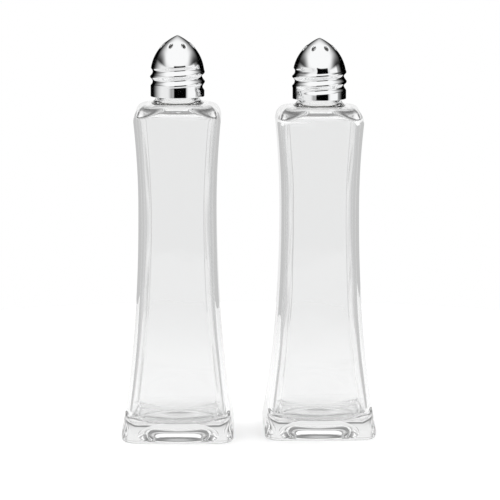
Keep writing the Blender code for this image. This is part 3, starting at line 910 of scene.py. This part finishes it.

# %% [markdown]
# ## The table
# A plain white disc, just large enough to catch the contact shadows. It ends close in front, as a
# small studio table does, because polished metal mirrors where the table stops. It lies a hair below
# the bases, because a clear base that touches the table would share a surface with it. The table's
# colour also carries painted shade: it is greyer for mirrored rays and for rays that come through
# glass, more so towards the back, so that the clear glass stands out from the white.

# %% Floor
FLOOR_RADIUS = 0.32
FLOOR_RINGS = 4
FLOOR_GAP = 0.03 * MM
TABLE_TONE = 0.93
# Painted shade: the table's tone in mirrors, and through glass from the front to the back.
MIRRORED_SHADE_TONE = 0.65
THROUGH_GLASS_SHADE_FRONT = 0.785
THROUGH_GLASS_SHADE_BACK = 0.637
DIMMING_STARTS = 0.03


def make_floor():
    """A disc: rings of points round a pole, all at FLOOR_GAP below height 0."""
    radius = np.linspace(0.0, FLOOR_RADIUS, FLOOR_RINGS + 1)[1:]
    turn = np.arange(COLUMNS) * math.tau / COLUMNS
    rows = np.stack([radius[:, None] * np.cos(turn), radius[:, None] * np.sin(turn),
                     np.full((len(radius), COLUMNS), -FLOOR_GAP)], axis=-1)
    points = np.vstack([rows.reshape(-1, 3), [[0.0, 0.0, -FLOOR_GAP]]])
    quads = grid_faces(len(radius), COLUMNS)[:, ::-1]
    middle = fan_faces(0, COLUMNS, len(points) - 1, upward=True)
    wrap = np.stack([np.zeros(len(points)), np.zeros(len(points))], axis=1)
    return make_piece("white_table", points, quads, middle, wrap)


def make_white_with_painted_shade():
    """Matt white with painted shade: greyer for mirrored rays, and through glass darker towards the back."""
    material, tree, output = new_material("white_card")
    path = add_node(tree, "ShaderNodeLightPath")
    place = add_node(tree, "ShaderNodeTexCoord").outputs["Object"]
    back = add_node(tree, "ShaderNodeSeparateXYZ", {0: place}).outputs["Y"]
    # Painted shade seen through glass, darker towards the back; mirrored rays get a greyer painted tone.
    painted_shade = ease_node(tree, back, DIMMING_STARTS, FLOOR_RADIUS, THROUGH_GLASS_SHADE_FRONT, THROUGH_GLASS_SHADE_BACK)
    through = math_node(tree, "SUBTRACT", through_glass(tree, path), path.outputs["Is Camera Ray"],
                        clamp=True)
    mirrored = math_node(tree, "MULTIPLY_ADD", path.outputs["Is Glossy Ray"],
                         MIRRORED_SHADE_TONE - TABLE_TONE, TABLE_TONE)
    tone = add_node(tree, "ShaderNodeMix", {"Factor": through, "A": mirrored, "B": painted_shade}).outputs[0]
    shader = add_node(tree, "ShaderNodeBsdfPrincipled", {"Base Color": tone, "Roughness": 0.9})
    tree.links.new(shader.outputs[0], output.inputs["Surface"])
    return material


floor = make_floor()
floor.data.materials.append(make_white_with_painted_shade())

# %% [markdown]
# ## The studio light
# Polished metal shows the whole studio, so the light is painted as one: a large white scrim overhead
# and towards the front, a soft box to each side, a dark gap in front where the camera stands, and dark
# sides behind with a white card straight at the back. It is a function of direction only: azimuth is
# 0 towards the front and grows to the right, and elevation is 0 at the horizon. A soft box is a level
# with a soft near edge and a soft far edge, each a pair of angles out from the front. The left box
# fades out slowly. The right one stops sharply, with a dim spill of light on the wall beyond it.
# The rays see four studios: the backdrop that is looked at directly is plain white, matt surfaces see
# an even white, mirrored rays see the lights, and rays through glass see them with the darks lifted,
# less so overhead, which leaves the glass its grey edges.

# %% Studio
LEFT_BOX = (0.87, (13.0, 42.0), (66.0, 125.0))
RIGHT_BOX = (0.98, (28.0, 50.0), (81.0, 91.0))
RIGHT_SPILL = (0.38, (50.0, 81.0), (82.0, 112.0))
BACK_CARD = (158.0, 168.0)
BOX_TOP = (15.0, 24.0)
SCRIM_EDGE = (38.0, 92.0)
SCRIM_SIDES = (0.68, 0.98)
GAP_LEFT = (-16.0, -12.0)
GAP_RIGHT = (36.0, 39.0)
GAP_TOP = (21.0, 24.0)
SCRIM_AIM = (0.0, -0.5, 0.866)
LIFT = 0.55
LIFT_OVERHEAD = 0.04
THROUGH = 0.86
LIFT_EASE = (8.0, 40.0)
MIRRORED_LIGHT = 1.05
EVEN_LIGHT = 1.35


def soft_box(tree, out, box):
    """level * rise over the near edge * fall over the far edge, at an angle out from the front."""
    level, near, far = box
    rise = ease_node(tree, out, *near)
    fall = ease_node(tree, out, *far, level, 0.0)
    return math_node(tree, "MULTIPLY", rise, fall)


def make_studio():
    """light = max(boxes below BOX_TOP, scrim) * (1 - gap), then one mix for each kind of ray."""
    world = bpy.data.worlds.new("soft_studio")
    bpy.context.scene.world = world
    world.use_nodes = True
    tree = world.node_tree
    tree.nodes.clear()
    output = add_node(tree, "ShaderNodeOutputWorld")
    direction = add_node(tree, "ShaderNodeTexCoord").outputs["Generated"]
    axes = add_node(tree, "ShaderNodeSeparateXYZ", {0: direction})
    front = math_node(tree, "MULTIPLY", axes.outputs["Y"], -1.0)
    azimuth = math_node(tree, "DEGREES", math_node(tree, "ARCTAN2", axes.outputs["X"], front))
    elevation = math_node(tree, "DEGREES", math_node(tree, "ARCSINE", axes.outputs["Z"]))

    leftward = math_node(tree, "MULTIPLY", azimuth, -1.0)
    sides = math_node(tree, "MAXIMUM", soft_box(tree, azimuth, RIGHT_BOX), soft_box(tree, azimuth, RIGHT_SPILL))
    sides = math_node(tree, "MAXIMUM", sides, soft_box(tree, leftward, LEFT_BOX))
    backward = ease_node(tree, math_node(tree, "ABSOLUTE", azimuth), *BACK_CARD)
    sides = math_node(tree, "MAXIMUM", sides, backward)
    sides = math_node(tree, "MULTIPLY", sides, ease_node(tree, elevation, *BOX_TOP, 1.0, 0.0))

    towards = add_node(tree, "ShaderNodeVectorMath", {0: direction, 1: SCRIM_AIM}, operation="DOT_PRODUCT")
    off_aim = math_node(tree, "DEGREES", math_node(tree, "ARCCOSINE", towards.outputs["Value"]))
    scrim = ease_node(tree, off_aim, *SCRIM_EDGE, 1.0, 0.0)
    sideways = math_node(tree, "ABSOLUTE", axes.outputs["X"])
    scrim = math_node(tree, "MULTIPLY", scrim, ease_node(tree, sideways, *SCRIM_SIDES, 1.0, 0.0))

    gap_left = ease_node(tree, azimuth, *GAP_LEFT)
    gap_right = ease_node(tree, azimuth, *GAP_RIGHT, 1.0, 0.0)
    gap_top = ease_node(tree, elevation, *GAP_TOP, 1.0, 0.0)
    gap = math_node(tree, "MULTIPLY", math_node(tree, "MULTIPLY", gap_left, gap_right), gap_top)
    light = math_node(tree, "MULTIPLY", math_node(tree, "MAXIMUM", sides, scrim),
                      math_node(tree, "SUBTRACT", 1.0, gap))

    mirrored = math_node(tree, "MULTIPLY", light, MIRRORED_LIGHT)
    darks = ease_node(tree, elevation, *LIFT_EASE, LIFT, LIFT_OVERHEAD)
    lifted = math_node(tree, "MULTIPLY_ADD", light, math_node(tree, "SUBTRACT", THROUGH, darks), darks)
    path = add_node(tree, "ShaderNodeLightPath")
    seen = EVEN_LIGHT
    for ray, level in ((path.outputs["Is Glossy Ray"], mirrored), (through_glass(tree, path), lifted),
                       (path.outputs["Is Camera Ray"], 1.0)):
        seen = add_node(tree, "ShaderNodeMix", {"Factor": ray, "A": seen, "B": level}).outputs[0]
    background = add_node(tree, "ShaderNodeBackground", {"Color": seen, "Strength": 1.0})
    tree.links.new(background.outputs[0], output.inputs["Surface"])


make_studio()
print("soft boxes:", LEFT_BOX, RIGHT_BOX)
bpy.context.scene.view_settings.view_transform = "Standard"

# %% [markdown]
# ## The camera
# A long lens, a little above the shakers and looking slightly down, keeps the sides nearly parallel.

# %% Camera
CAMERA_PLACE = (0.0, -1.30, 0.275)
CAMERA_AIM = (0.00035, 0.0, 0.0762)
LENS = 229.6
SENSOR_WIDTH = 36.0


def make_camera():
    """A camera at CAMERA_PLACE that looks at CAMERA_AIM."""
    data = bpy.data.cameras.new("camera")
    data.lens = LENS
    data.sensor_width = SENSOR_WIDTH
    camera = bpy.data.objects.new("camera", data)
    bpy.context.scene.collection.objects.link(camera)
    camera.location = CAMERA_PLACE
    camera.rotation_euler = (Vector(CAMERA_AIM) - Vector(CAMERA_PLACE)).to_track_quat("-Z", "Y").to_euler()
    bpy.context.scene.camera = camera


make_camera()
print("camera", round(math.dist(CAMERA_PLACE, CAMERA_AIM), 2), "m from its aim")
